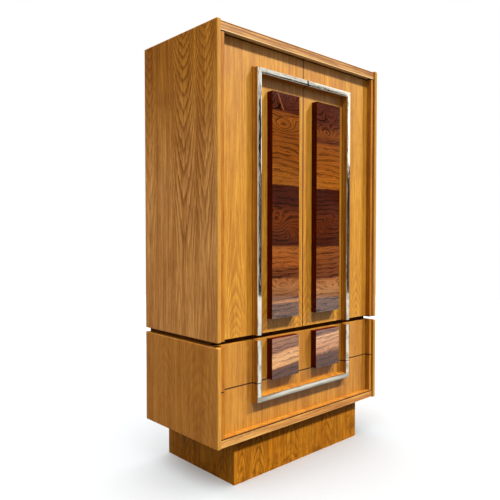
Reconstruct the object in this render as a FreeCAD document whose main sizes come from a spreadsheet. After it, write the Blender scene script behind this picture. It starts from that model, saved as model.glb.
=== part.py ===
import FreeCAD, Part
import os
import Sketcher

# Two-case armoire: a wardrobe case with two doors stands on a drawer case with two drawers, with dark
# spacer battens between them and a set-back plinth below. A chrome faced moulding runs round the front as
# one tall ring, split across the doors and drawers, with four rosewood blocks inside it that are the pulls.
# Millimetres, +Z up, +X to the right seen from the front, the front faces -Y. The origin is on the floor,
# at the centre of the width and the depth.

doc = FreeCAD.newDocument("armoire")

SIZES = {
    # cases
    "case_width": 1016, "case_depth": 494, "panel_thick": 19, "corner_radius": 4,
    "base_height": 180, "side_drop": 1, "lower_height": 385, "spacer_height": 17.5, "upper_height": 1200.5,
    "rebate_width": 8, "rebate_depth": 8, "back_thick": 6, "back_play": 0.5, "back_gap": 3,
    # front planes, each behind the side panels' front edges
    "rail_setback": 8, "field_setback": 33, "block_setback": 3, "chrome_setback": 4.7,
    "slab_thick": 18, "stop_gap": 0.5, "swing_gap": 3.5,
    # rails and the top panel
    "top_step": 2.5, "cover_thick": 6, "cover_setback": 10, "top_thick": 25, "top_rail_height": 28.5,
    "bottom_rail_height": 27.5,
    # doors and drawer fronts
    "side_gap": 2.5, "centre_gap": 3, "door_top_gap": 5.5, "door_lift": 3.5, "strip_width": 19,
    "drawer_split": 213, "split_gap": 3, "foot_gap": 3.5, "foot_thick": 6,
    # the moulding ring and the blocks
    "ring_half_width": 298, "ring_top": 1648, "ring_bottom": 313.5, "chrome_width": 22, "chrome_thick": 2,
    "chrome_chamfer": 0.7, "outer_lip": 5, "inner_lip": 5, "step_low": 6.5, "step_high": 13,
    "low_step_in": 2.5, "high_step_in": 4,
    "block_margin": 58, "block_gap": 57, "block_drop": 3.5,
    # hinges and catches
    "pivot_inset": 12, "pivot_setback": 7, "pin_radius": 2.5, "pin_length": 13, "pin_play": 0.06,
    "bush_radius": 4.5, "bush_length": 14, "plate_width": 24, "plate_thick": 2.5, "plate_length": 78,
    "top_plate_length": 24, "plate_gap": 0.5, "mortise_play": 0.2,
    "catch_middle": 45, "catch_width": 44, "catch_height": 25, "catch_depth": 18,
    "strike_thick": 0.8, "strike_gap": 0.4, "strike_height": 12, "strike_drop": 13,
    # shelves
    "shelf_depth": 400, "shelf_play": 1, "shelf_setback": 14, "shelf_pitch": 285, "shelf_first": 270,
    "peg_radius": 2.5, "peg_length": 18, "peg_end_play": 0.3, "hole_depth": 10, "hole_play": 0.1,
    "hole_pitch": 32, "hole_front": 110, "hole_spread": 300,
    # drawer boxes and runners
    "runner_width": 34, "runner_height": 13, "runner_length": 415, "runner_start": 60, "runner_play": 0.6,
    "box_side": 12, "box_clearance": 15, "box_length": 404, "upper_box_height": 130,
    "lower_box_height": 134, "box_floor": 5, "floor_raise": 9, "groove_depth": 5, "groove_play": 0.1,
    "upper_runner_drop": 8.5, "drawer_back_drop": 6,
    # spacer, plinth and screws
    "batten_width": 40, "batten_inset": 18, "batten_front": 60, "batten_back": 10,
    "plinth_inset": 114, "plinth_front": 38, "plinth_back": 7, "plinth_thick": 19,
    "block_side": 36, "block_height": 150, "screw_radius": 2.5, "screw_head": 5, "head_height": 3,
    "lower_screw": 48, "upper_screw": 50, "screw_edge": 10, "screw_inset": 60,
}
SIDES = (-1, 1)         # left and right
SHELF_NAMES = ("low_shelf", "middle_shelf", "top_shelf")
HOLE_STEPS = 2          # holes above and below each shelf's own height
OVERCUT = 1             # how far a cutting shape runs past the face it cuts, mm
NEAR = 0.01             # two lengths closer than this are the same, mm

sheet = doc.addObject("Spreadsheet::Sheet", "Sizes")
for row, (alias, value) in enumerate(SIZES.items(), start=1):
    sheet.set(f"A{row}", alias)
    sheet.set(f"B{row}", str(value))
    sheet.setAlias(f"B{row}", alias)
doc.recompute()
probe = doc.addObject("App::FeaturePython", "Probe")
exported = []


def size(alias):
    """An alias of the sheet, as it is written in an expression."""
    return f"Sizes.{alias}"


def plus(*terms):
    """The sum of numbers, aliases and expressions, in brackets so that it can be used again."""
    words = []
    for term in terms:
        text = str(term)
        negative = text.startswith("-") and text[1:] in SIZES
        if negative:
            words.append(f"-{size(text[1:])}")
        else:
            words.append(size(text) if text in SIZES else text)
    return "(" + " + ".join(words) + ")"


def minus(expression):
    return f"(-{plus(expression)})"


def number(expression):
    return float(probe.evalExpression(expression))


# Planes that many pieces share.
HALF = f"({size('case_width')} / 2)"
FRONT = f"(-{size('case_depth')} / 2)"
BACK = f"({size('case_depth')} / 2)"
INNER = plus(HALF, "-panel_thick")
FIELD = plus(FRONT, "field_setback")
RAIL = plus(FRONT, "rail_setback")
SLAB_BACK = plus(FIELD, "slab_thick")
CASE_FRONT = plus(SLAB_BACK, "stop_gap")
CASE_BACK = plus(BACK, "-rebate_depth")
CLEAR_WIDTH = f"(2 * {INNER})"
BACK_WIDTH = f"(2 * ({INNER} + {size('rebate_width')} - {size('back_play')}))"
LOWER_TOP = plus("base_height", "lower_height")
UPPER_Z = plus(LOWER_TOP, "spacer_height")
TOP_Z = plus(UPPER_Z, "upper_height")
COVER_TOP = plus(TOP_Z, "-top_step")
RAIL_TOP = plus(COVER_TOP, "-cover_thick")
RAIL_UNDER = plus(RAIL_TOP, "-top_rail_height")
TOP_UNDER = plus(COVER_TOP, "-top_thick")
FRONT_HALF = plus(INNER, "-side_gap")
PROUD = plus("field_setback", "-rail_setback")
DOOR_Z = plus(UPPER_Z, "door_lift")
DOOR_TOP = plus(RAIL_UNDER, "-door_top_gap")
DOOR_EDGE = f"({size('centre_gap')}/2)"
SPLIT_Z = plus("base_height", "drawer_split")
UPPER_DRAWER_Z = plus(SPLIT_Z, f"{size('split_gap')}/2")
LOWER_DRAWER_TOP = plus(SPLIT_Z, f"-{size('split_gap')}/2")
LOWER_DRAWER_Z = plus("base_height", "bottom_rail_height", "foot_gap")
FLOOR_TOP = plus("base_height", "panel_thick")
MOULD_HALF = plus("ring_half_width", "outer_lip")
MOULD_WIDTH = plus("outer_lip", "chrome_width", "inner_lip")
MOULD_HEIGHT = plus("field_setback", "-chrome_setback", "-chrome_thick")
CHROME_BACK = plus(FRONT, "chrome_setback", "chrome_thick")
BLOCK_OUTER = plus("ring_half_width", "-chrome_width", "-block_margin")
PIVOT_X = plus(FRONT_HALF, "-pivot_inset")
PIVOT_Y = plus(RAIL, "pivot_setback")


def place(thing, x, y, z, turn=0, axis=(0, 1, 0)):
    """Turn a piece about an axis, then bind its position to the sheet."""
    rotation = FreeCAD.Rotation(FreeCAD.Vector(*axis), turn)
    thing.Placement = FreeCAD.Placement(FreeCAD.Vector(), rotation)
    for name, expression in zip("xyz", (x, y, z)):
        thing.setExpression(f"Placement.Base.{name}", plus(expression))
    return thing


def export(thing, label):
    thing.Label = label
    exported.append(thing)
    return thing


def box(name, length, width, height, x, y, z):
    """A plain board with its low corner at x, y, z."""
    piece = doc.addObject("Part::Box", name)
    piece.setExpression("Length", plus(length))
    piece.setExpression("Width", plus(width))
    piece.setExpression("Height", plus(height))
    return place(piece, x, y, z)


def board(label, length, width, height, x, y, z):
    return export(box(label + "_board", length, width, height, x, y, z), label)


def rod(name, radius, length, x, y, z, turn=0):
    piece = doc.addObject("Part::Cylinder", name)
    piece.setExpression("Radius", plus(radius))
    piece.setExpression("Height", plus(length))
    return place(piece, x, y, z, turn)


def cut(name, base, tool):
    piece = doc.addObject("Part::Cut", name)
    piece.Base = base
    piece.Tool = tool
    return piece


def fuse(name, base, tool):
    piece = doc.addObject("Part::Fuse", name)
    piece.Base = base
    piece.Tool = tool
    return piece


def group(label, pieces):
    """Separate solids that share one node."""
    piece = doc.addObject("Part::Compound", label + "_group")
    piece.Links = pieces
    return export(piece, label)


def plane(body, role):
    return next(item for item in body.Origin.OriginFeatures if item.Role == role)


def sketch(body, name, role="XY_Plane", offset=None):
    drawing = body.newObject("Sketcher::SketchObject", name)
    drawing.AttachmentSupport = [(plane(body, role), "")]
    drawing.MapMode = "FlatFace"
    if offset:
        drawing.setExpression("AttachmentOffset.Base.z", plus(offset))
    return drawing


def bind(drawing, kind, geometry, point, expression, name):
    index = drawing.addConstraint(
        Sketcher.Constraint(kind, -1, 1, geometry, point, number(expression)))
    drawing.renameConstraint(index, name)
    drawing.setExpression(f"Constraints.{name}", expression)


def outline(drawing, corners):
    """A closed outline whose corners are bound to the sheet."""
    corners = [(plus(x), plus(y)) for x, y in corners]
    spots = [FreeCAD.Vector(number(x), number(y), 0) for x, y in corners]
    count = len(corners)
    first = drawing.GeometryCount
    for i in range(count):
        drawing.addGeometry(Part.LineSegment(spots[i], spots[(i + 1) % count]))
    for i in range(count):
        follower = first + (i + 1) % count
        drawing.addConstraint(Sketcher.Constraint("Coincident", first + i, 2, follower, 1))
    for i, (x, y) in enumerate(corners):
        bind(drawing, "DistanceX", first + i, 1, x, f"corner{first + i}x")
        bind(drawing, "DistanceY", first + i, 1, y, f"corner{first + i}y")
    return drawing


def pad(body, name, drawing, length):
    feature = body.newObject("PartDesign::Pad", name)
    feature.Profile = drawing
    feature.setExpression("Length", plus(length))
    doc.recompute()
    return feature


def pocket(body, name, drawing, depth=None, reverse=False):
    """Cut a sketch out of the body: to a depth, or both ways right through."""
    feature = body.newObject("PartDesign::Pocket", name)
    feature.Profile = drawing
    if depth:
        feature.setExpression("Length", plus(depth))
        feature.Reversed = reverse
    else:
        feature.Type = "ThroughAll"
        feature.Midplane = True
    before = feature.BaseFeature.Shape.Volume
    doc.recompute()
    if feature.Shape.Volume >= before:
        raise RuntimeError(f"{body.Name} {name} cuts nothing")
    return feature


def solid(name, corners, length, role="XY_Plane"):
    """A body padded from one outline."""
    body = doc.addObject("PartDesign::Body", name)
    drawing = outline(sketch(body, name + "_outline", role), corners)
    pad(body, name + "_pad", drawing, length)
    return body


def side_panel(label, side, low, height, with_holes):
    """A side panel with rounded edges and a rebate for the back; side is -1 on the left, 1 on the right."""
    outer = f"({side} * {size('panel_thick')})"
    body = solid(label + "_body", [(0, 0), (outer, 0), (outer, size("case_depth")), (0, size("case_depth"))],
                 height)
    base = body.Tip
    corner = body.newObject("PartDesign::Fillet", label + "_rounding")
    outer_x = number(outer)
    names = []
    for index, edge in enumerate(base.Shape.Edges, start=1):
        bounds = edge.BoundBox
        on_outer = abs(bounds.XMin - outer_x) < NEAR and abs(bounds.XMax - outer_x) < NEAR
        on_front = bounds.YMax < NEAR
        if on_outer or on_front:
            names.append(f"Edge{index}")
    corner.Base = (base, names)
    corner.setExpression("Radius", size("corner_radius"))
    body.Tip = corner
    doc.recompute()
    rebate = f"({side} * {size('rebate_width')})"
    near, far = plus("case_depth", "-rebate_depth"), plus("case_depth", OVERCUT)
    corners = [(0, near), (rebate, near), (rebate, far), (0, far)]
    drawing = outline(sketch(body, label + "_rebate"), corners)
    pocket(body, label + "_rebate_cut", drawing)
    if with_holes:
        holes = sketch(body, label + "_hole_rows", "YZ_Plane")
        for column in range(2):
            for level in range(-HOLE_STEPS, HOLE_STEPS + 1):
                index = holes.addGeometry(Part.Circle(FreeCAD.Vector(1, 1, 0), FreeCAD.Vector(0, 0, 1), 1))
                across = plus("hole_front", f"{column} * {size('hole_spread')}")
                up = plus("panel_thick", "shelf_first", "-peg_radius", f"{level} * {size('hole_pitch')}")
                bind(holes, "DistanceX", index, 3, across, f"hole{index}x")
                bind(holes, "DistanceY", index, 3, up, f"hole{index}y")
                radius = plus("peg_radius", "hole_play")
                limit = holes.addConstraint(Sketcher.Constraint("Radius", index, number(radius)))
                holes.renameConstraint(limit, f"hole{index}r")
                holes.setExpression(f"Constraints.hole{index}r", radius)
        drilled = pocket(body, label + "_holes", holes, "hole_depth", reverse=side > 0)
        rows = body.newObject("PartDesign::LinearPattern", label + "_hole_groups")
        rows.Originals = [drilled]
        rows.Direction = (holes, ["V_Axis"])
        rows.setExpression("Length", f"{len(SHELF_NAMES) - 1} * {size('shelf_pitch')}")
        rows.Occurrences = len(SHELF_NAMES)
        body.Tip = rows
    place(body, f"{side} * {INNER}", FRONT, low)
    return export(body, label)


def mould_profile():
    """The oak moulding's section: across from its outer edge, and out from the field it stands on."""
    low_in, high_in = size("low_step_in"), size("high_step_in")
    far_low, far_high = plus(MOULD_WIDTH, f"-{low_in}"), plus(MOULD_WIDTH, f"-{high_in}")
    low, high = size("step_low"), size("step_high")
    near_edge = [("0", "0"), ("0", low), (low_in, low), (high_in, high), (high_in, MOULD_HEIGHT)]
    far_edge = [(far_high, MOULD_HEIGHT), (far_high, high), (far_low, low), (MOULD_WIDTH, low),
                (MOULD_WIDTH, "0")]
    return near_edge + far_edge


def chrome_profile():
    """The chrome strip's section: a flat bar with its two front edges chamfered."""
    width, thick, bevel = size("chrome_width"), size("chrome_thick"), size("chrome_chamfer")
    return [("0", "0"), ("0", f"({thick} - {bevel})"), (bevel, thick), (f"({width} - {bevel})", thick),
            (width, f"({thick} - {bevel})"), (width, "0")]


def bar(name, profile, width, length, side, mitres, x, y, z, turn):
    """A moulding or chrome bar. It is drawn upright, its outer edge on the Z axis and its width towards
    side * X, with a mitre at its start, its end or both, and then turned about Y into its place."""
    corners = [(f"({side} * {across})", f"(-{out})") for across, out in profile]
    body = solid(name, corners, length)
    inner = f"({side} * {plus(width)})"
    if "end" in mitres:
        cutter = [("0", length), (inner, length), (inner, plus(length, f"-{plus(width)}"))]
        pocket(body, name + "_end_mitre", outline(sketch(body, name + "_end", "XZ_Plane"), cutter))
    if "start" in mitres:
        cutter = [("0", "0"), (inner, "0"), (inner, plus(width))]
        pocket(body, name + "_start_mitre", outline(sketch(body, name + "_start", "XZ_Plane"), cutter))
    return place(body, x, y, z, turn)


def ring_bars(name, kind, length, side, mitres, x, z, turn):
    """The same run of the ring as an oak moulding or as its chrome facing."""
    if kind == "moulding":
        return bar(name, mould_profile(), MOULD_WIDTH, length, side, mitres, x, FIELD, z, turn)
    return bar(name, chrome_profile(), size("chrome_width"), length, side, mitres, x, CHROME_BACK, z, turn)


def ring_edge(kind):
    """How far a bar's outer edge stands outside the chrome ring."""
    return size("outer_lip") if kind == "moulding" else "0"


def upper_case():
    side_panel("upper_left_side", -1, UPPER_Z, size("upper_height"), True)
    side_panel("upper_right_side", 1, UPPER_Z, size("upper_height"), True)
    cover_front = plus(FRONT, "cover_setback")
    section = [(cover_front, RAIL_TOP), (cover_front, COVER_TOP), (CASE_BACK, COVER_TOP),
               (CASE_BACK, TOP_UNDER), (FIELD, TOP_UNDER), (FIELD, RAIL_TOP)]
    top = solid("upper_top_panel_body", section, CLEAR_WIDTH, "YZ_Plane")
    export(place(top, minus(INNER), "0", "0"), "upper_top_panel")
    board("top_rail", CLEAR_WIDTH, PROUD, "top_rail_height", minus(INNER), RAIL, RAIL_UNDER)

    floor_front = plus(SLAB_BACK, "swing_gap")
    floor = box("upper_floor", CLEAR_WIDTH, plus(CASE_BACK, f"-{floor_front}"), "panel_thick", minus(INNER),
                floor_front, UPPER_Z)
    mortises = doc.addObject("Part::Compound", "upper_floor_mortises")
    mortises.Links = [mortise(f"mortise_{side + 1}", side) for side in SIDES]
    export(cut("upper_floor_cut", floor, mortises), "upper_bottom_panel")
    back_z = plus(UPPER_Z, "back_gap")
    board("upper_back_panel", BACK_WIDTH, "back_thick", plus(COVER_TOP, "-back_gap", f"-{back_z}"),
          minus(f"{BACK_WIDTH} / 2"), CASE_BACK, back_z)


def shelves():
    """Three loose shelves, each resting on four pins in the side panels' holes."""
    shelf_length = plus(CLEAR_WIDTH, f"-2 * {size('shelf_play')}")
    pin_start = plus(INNER, "hole_depth", "-peg_length", "-peg_end_play")
    pegs = []
    for level, label in enumerate(SHELF_NAMES):
        height = plus(UPPER_Z, "panel_thick", "shelf_first", f"{level} * {size('shelf_pitch')}")
        board(label, shelf_length, "shelf_depth", "panel_thick", minus(f"{shelf_length} / 2"),
              plus(CASE_FRONT, "shelf_setback"), height)
        for column in range(2):
            across = plus(FRONT, "hole_front", f"{column} * {size('hole_spread')}")
            level_z = plus(height, "-peg_radius")
            for start in (pin_start, minus(plus(pin_start, "peg_length"))):
                pegs.append(rod("peg", "peg_radius", "peg_length", start, across, level_z, 90))
    group("shelf_pins", pegs)


def mortise(name, side):
    """The cutter for a bottom hinge plate's seat, a little larger than the plate all round."""
    width = plus("plate_width", f"2 * {size('mortise_play')}")
    length = plus("plate_length", "plate_gap", "mortise_play")
    x = f"({side} * {PIVOT_X} - {width} / 2)"
    return box(name, width, length, plus("plate_thick", "mortise_play"), x, RAIL, UPPER_Z)


def hinge_plates():
    """Four pivot plates, each with its upright pin: two under the top rail, two on the bottom panel."""
    plates = []
    for side in SIDES:
        x = f"({side} * {PIVOT_X} - {size('plate_width')} / 2)"
        pin_x = f"({side} * {PIVOT_X})"
        low = box(f"low_plate_{side + 1}", "plate_width", "plate_length", "plate_thick", x,
                  plus(RAIL, "plate_gap"), UPPER_Z)
        low_pin = rod(f"low_pin_{side + 1}", "pin_radius", plus("pin_length", "plate_thick"), pin_x, PIVOT_Y,
                      UPPER_Z)
        plates.append(fuse(f"low_hinge_{side + 1}", low, low_pin))
        high = box(f"high_plate_{side + 1}", "plate_width", "top_plate_length", "plate_thick", x,
                   plus(RAIL, "plate_gap"), plus(RAIL_UNDER, "-plate_thick"))
        high_pin = rod(f"high_pin_{side + 1}", "pin_radius", plus("pin_length", "door_top_gap"), pin_x,
                       PIVOT_Y, plus(RAIL_UNDER, "-pin_length", "-door_top_gap"))
        plates.append(fuse(f"high_hinge_{side + 1}", high, high_pin))
    group("hinge_plates", plates)


def catch_x(side):
    return f"({side} * {size('catch_middle')} - {size('catch_width')} / 2)"


def door_catches():
    """Two magnet blocks under the top panel, one behind each door's meeting edge."""
    blocks = []
    for side in SIDES:
        y = plus(SLAB_BACK, "strike_thick", "strike_gap")
        blocks.append(box(f"catch_{side + 1}", "catch_width", "catch_depth", "catch_height", catch_x(side), y,
                          plus(TOP_UNDER, "-catch_height")))
    group("door_catches", blocks)


def door(name, side):
    """One door: panel, bored hinge strip, mitred moulding and chrome, block, bushes and strike plate."""
    width = plus(FRONT_HALF, f"-{DOOR_EDGE}")
    height = plus(DOOR_TOP, f"-{DOOR_Z}")
    low_x = DOOR_EDGE if side > 0 else minus(FRONT_HALF)
    board(f"{name}_panel", width, "slab_thick", height, low_x, FIELD, DOOR_Z)

    strip_x = plus(FRONT_HALF, "-strip_width") if side > 0 else minus(FRONT_HALF)
    strip = box(f"{name}_strip_blank", "strip_width", PROUD, height, strip_x, RAIL, DOOR_Z)
    pivot_x = f"({side} * {PIVOT_X})"
    high_z = plus(DOOR_TOP, "-bush_length")
    bores = doc.addObject("Part::Compound", f"{name}_bores")
    bores.Links = [rod(f"{name}_bore_{i}", "bush_radius", "bush_length", pivot_x, PIVOT_Y, z)
                   for i, z in enumerate((DOOR_Z, high_z))]
    export(cut(f"{name}_strip_cut", strip, bores), f"{name}_strip")
    bushes = []
    for i, z in enumerate((DOOR_Z, high_z)):
        bore = plus("pin_radius", "pin_play")
        outside = rod(f"{name}_bush_out_{i}", "bush_radius", "bush_length", pivot_x, PIVOT_Y, z)
        inside = rod(f"{name}_bush_in_{i}", bore, "bush_length", pivot_x, PIVOT_Y, z)
        bushes.append(cut(f"{name}_bush_{i}", outside, inside))
    group(f"{name}_bushes", bushes)

    for kind in ("moulding", "chrome"):
        edge = ring_edge(kind)
        outer_x = f"({side} * {plus('ring_half_width', edge)})"
        top = plus("ring_top", edge)
        upright = ring_bars(f"{name}_side_{kind}_body", kind, plus(top, f"-{DOOR_Z}"), -side, ("end",),
                            outer_x, DOOR_Z, 0)
        export(upright, f"{name}_side_{kind}")
        length = plus("ring_half_width", edge, f"-{DOOR_EDGE}")
        across = ring_bars(f"{name}_top_{kind}_body", kind, length, side, ("end",),
                           f"({side} * {DOOR_EDGE})", top, side * 90)
        export(across, f"{name}_top_{kind}")

    block_width = plus(BLOCK_OUTER, "-block_gap")
    block_x = size("block_gap") if side > 0 else minus(BLOCK_OUTER)
    block_low = plus(DOOR_Z, "block_gap")
    block_high = plus("ring_top", "-chrome_width", "-block_margin")
    board(f"{name}_block", block_width, plus("field_setback", "-block_setback"),
          plus(block_high, f"-{block_low}"), block_x, plus(FRONT, "block_setback"), block_low)
    board(f"{name}_strike", "catch_width", "strike_thick", "strike_height", catch_x(side), SLAB_BACK,
          plus(DOOR_TOP, "-strike_drop"))


def lower_case():
    low = plus("base_height", "-side_drop")
    side_panel("lower_left_side", -1, low, plus("lower_height", "side_drop"), False)
    side_panel("lower_right_side", 1, low, plus("lower_height", "side_drop"), False)
    depth = plus(CASE_BACK, f"-{CASE_FRONT}")
    board("lower_top_panel", CLEAR_WIDTH, depth, "panel_thick", minus(INNER), CASE_FRONT,
          plus(LOWER_TOP, "-panel_thick"))
    board("lower_bottom_panel", CLEAR_WIDTH, depth, "panel_thick", minus(INNER), CASE_FRONT, "base_height")
    board("lower_back_panel", BACK_WIDTH, "back_thick", plus("lower_height", f"-2 * {size('back_gap')}"),
          minus(f"{BACK_WIDTH} / 2"), CASE_BACK, plus("base_height", "back_gap"))
    rail_depth = plus(CASE_FRONT, f"-{RAIL}")
    board("bottom_rail", CLEAR_WIDTH, rail_depth, "bottom_rail_height", minus(INNER), RAIL, "base_height")
    runners = []
    for level in (FLOOR_TOP, plus(UPPER_DRAWER_Z, "-upper_runner_drop")):
        for x in (minus(INNER), plus(INNER, "-runner_width")):
            runners.append(box("runner", "runner_width", "runner_length", "runner_height", x,
                               plus(FRONT, "runner_start"), level))
    group("drawer_runners", runners)


def drawer_box(name, runner_z, box_height):
    """Two grooved sides, a back that stands on the floor, and the floor in the grooves."""
    half = plus(INNER, "-box_clearance")
    low = plus(runner_z, "runner_height", "runner_play")
    floor_z = plus(low, "floor_raise")
    sides = []
    for side in SIDES:
        x = plus(half, "-box_side") if side > 0 else minus(half)
        blank = box(f"{name}_side_blank", "box_side", "box_length", box_height, x, SLAB_BACK, low)
        play = size("groove_play")
        inner = plus(half, "-box_side")
        groove_x = plus(inner, -OVERCUT) if side > 0 else minus(plus(inner, "groove_depth"))
        groove = box(f"{name}_groove", plus("groove_depth", OVERCUT), plus("box_length", 2 * OVERCUT),
                     plus("box_floor", f"2 * {play}"), groove_x, plus(SLAB_BACK, -OVERCUT),
                     plus(floor_z, f"-{play}"))
        sides.append(cut(f"{name}_side", blank, groove))
    group(f"{name}_sides", sides)
    inside = plus(half, "-box_side")
    floor_half = plus(inside, "groove_depth", "-groove_play")
    board(f"{name}_bottom", f"(2 * {floor_half})", "box_length", "box_floor", minus(floor_half), SLAB_BACK,
          floor_z)
    back_z = plus(floor_z, "box_floor")
    back_height = plus(box_height, low, f"-{back_z}", "-drawer_back_drop")
    board(f"{name}_back", f"(2 * {inside})", "box_side", back_height, minus(inside),
          plus(SLAB_BACK, "box_length", "-box_side"), back_z)


def drawer_front(name, low, high):
    """The set-back front that everything else on the drawer is fixed to."""
    height = plus(high, f"-{low}")
    board(f"{name}_front", f"(2 * {FRONT_HALF})", "slab_thick", height, minus(FRONT_HALF), FIELD, low)


def end_strips(name, low, high):
    """The two proud strips at the ends of a drawer front."""
    return [box(f"{name}_strip", "strip_width", PROUD, plus(high, f"-{low}"), x, RAIL, low)
            for x in (minus(FRONT_HALF), plus(FRONT_HALF, "-strip_width"))]


def upper_drawer():
    name = "upper_drawer"
    low, high = UPPER_DRAWER_Z, LOWER_TOP
    height = plus(high, f"-{low}")
    drawer_front(name, low, high)
    group(f"{name}_strips", end_strips(name, low, high))
    for kind, label in (("moulding", "mouldings"), ("chrome", "chrome")):
        edge = plus("ring_half_width", ring_edge(kind))
        group(f"{name}_{label}", [ring_bars(f"{name}_{kind}_{side + 1}", kind, height, -side, (),
                                            f"({side} * {edge})", low, 0) for side in SIDES])
    blocks = []
    for x in (minus(BLOCK_OUTER), size("block_gap")):
        blocks.append(box(f"{name}_block", plus(BLOCK_OUTER, "-block_gap"),
                          plus("field_setback", "-block_setback"), plus(height, "-block_drop"), x,
                          plus(FRONT, "block_setback"), low))
    group(f"{name}_blocks", blocks)
    drawer_box(name, plus(UPPER_DRAWER_Z, "-upper_runner_drop"), size("upper_box_height"))


def lower_drawer():
    name = "lower_drawer"
    low, high = LOWER_DRAWER_Z, LOWER_DRAWER_TOP
    drawer_front(name, low, high)
    foot_top = plus(low, "foot_thick")
    foot = box(f"{name}_foot", f"(2 * {FRONT_HALF})", PROUD, "foot_thick", minus(FRONT_HALF), RAIL, low)
    group(f"{name}_strips", end_strips(name, foot_top, high) + [foot])
    for kind, label in (("moulding", "mouldings"), ("chrome", "chrome")):
        edge = ring_edge(kind)
        half = plus("ring_half_width", edge)
        bottom = plus("ring_bottom", f"-{edge}")
        length = plus(high, f"-{bottom}")
        bars = [ring_bars(f"{name}_{kind}_{side + 1}", kind, length, side, ("end",), f"({side} * {half})",
                          high, 180) for side in SIDES]
        bars.append(ring_bars(f"{name}_{kind}_base", kind, f"(2 * {half})", 1, ("start", "end"), half,
                              bottom, -90))
        group(f"{name}_{label}", bars)
    drawer_box(name, FLOOR_TOP, size("lower_box_height"))


def spacer():
    """Dark battens between the two cases."""
    half = plus(HALF, "-batten_inset")
    front = plus(FRONT, "batten_front")
    rear = plus(BACK, "-batten_back", "-batten_width")
    across = [box("cross_batten", f"(2 * {half})", "batten_width", "spacer_height", minus(half), y, LOWER_TOP)
              for y in (front, rear)]
    group("spacer_cross_battens", across)
    length = plus(rear, f"-{front}", "-batten_width")
    along = [box("side_batten", "batten_width", length, "spacer_height", x, plus(front, "batten_width"),
                 LOWER_TOP) for x in (minus(half), plus(half, "-batten_width"))]
    group("spacer_side_battens", along)


def plinth():
    """Four mitred boards and a glued block in each inside corner."""
    left, right = minus(plus(HALF, "-plinth_inset")), plus(HALF, "-plinth_inset")
    front, rear = plus(FRONT, "plinth_front"), plus(BACK, "-plinth_back")
    inner_left, inner_right = plus(left, "plinth_thick"), plus(right, "-plinth_thick")
    inner_front, inner_rear = plus(front, "plinth_thick"), plus(rear, "-plinth_thick")
    outer = [(left, front), (right, front), (right, rear), (left, rear)]
    inner = [(inner_left, inner_front), (inner_right, inner_front), (inner_right, inner_rear),
             (inner_left, inner_rear)]
    for i, label in enumerate(("plinth_front", "plinth_right", "plinth_back", "plinth_left")):
        following = (i + 1) % len(outer)
        corners = [outer[i], outer[following], inner[following], inner[i]]
        export(solid(label + "_body", corners, "base_height"), label)
    blocks = []
    for x, dx in ((inner_left, "block_side"), (inner_right, "-block_side")):
        for y, dy in ((inner_front, "block_side"), (inner_rear, "-block_side")):
            corners = [(x, y), (plus(x, dx), y), (x, plus(y, dy))]
            block = solid("corner_block", corners, "block_height")
            blocks.append(place(block, "0", "0", plus("base_height", "-block_height")))
    group("plinth_corner_blocks", blocks)


def screw(name, x, y, top, length):
    """A countersunk wood screw, its head flush with the face it is driven through."""
    head = doc.addObject("Part::Cone", name + "_head")
    head.setExpression("Radius1", size("screw_radius"))
    head.setExpression("Radius2", size("screw_head"))
    head.setExpression("Height", size("head_height"))
    place(head, x, y, plus(top, "-head_height"))
    shank = rod(name + "_shank", "screw_radius", plus(length, "-head_height"), x, y, plus(top, f"-{length}"))
    return fuse(name, head, shank)


def case_screws():
    screws = []
    plinth_x = plus(HALF, "-plinth_inset", "-plinth_thick", "-screw_edge")
    plinth_rows = (plus(FRONT, "plinth_front", "plinth_thick", "screw_edge"),
                   plus(BACK, "-plinth_back", "-plinth_thick", "-screw_edge"))
    half_batten = f"{size('batten_width')} / 2"
    batten_x = plus(HALF, "-batten_inset", "-screw_inset")
    batten_rows = (plus(FRONT, "batten_front", half_batten), plus(BACK, "-batten_back", f"-{half_batten}"))
    for side in SIDES:
        for y in plinth_rows:
            screws.append(screw("plinth_screw", f"({side} * {plinth_x})", y, FLOOR_TOP, size("lower_screw")))
        for y in batten_rows:
            screws.append(screw("batten_screw", f"({side} * {batten_x})", y, plus(UPPER_Z, "panel_thick"),
                                size("upper_screw")))
    group("case_screws", screws)


upper_case()
shelves()
hinge_plates()
door_catches()
door("left_door", -1)
door("right_door", 1)
lower_case()
upper_drawer()
lower_drawer()
spacer()
plinth()
case_screws()
doc.recompute()

for item in doc.Objects:
    if "Invalid" in item.State or "Error" in item.State:
        raise RuntimeError(f"{item.Name} failed: {item.State}")
for item in exported:
    if item.Shape.isNull() or not item.Shape.isValid():
        raise RuntimeError(f"{item.Label} has no valid shape")

os.makedirs("parts", exist_ok=True)
for item in exported:
    item.Shape.exportStep(f"parts/{item.Label}.step")
    bounds = item.Shape.BoundBox
    print(f"{item.Label:24s} solids {len(item.Shape.Solids)}  volume {item.Shape.Volume / 1000:10.1f} cm3  "
          f"x {bounds.XMin:7.1f} {bounds.XMax:7.1f}  y {bounds.YMin:7.1f} {bounds.YMax:7.1f}  "
          f"z {bounds.ZMin:7.1f} {bounds.ZMax:7.1f}")
print(len(exported), "nodes")
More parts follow.
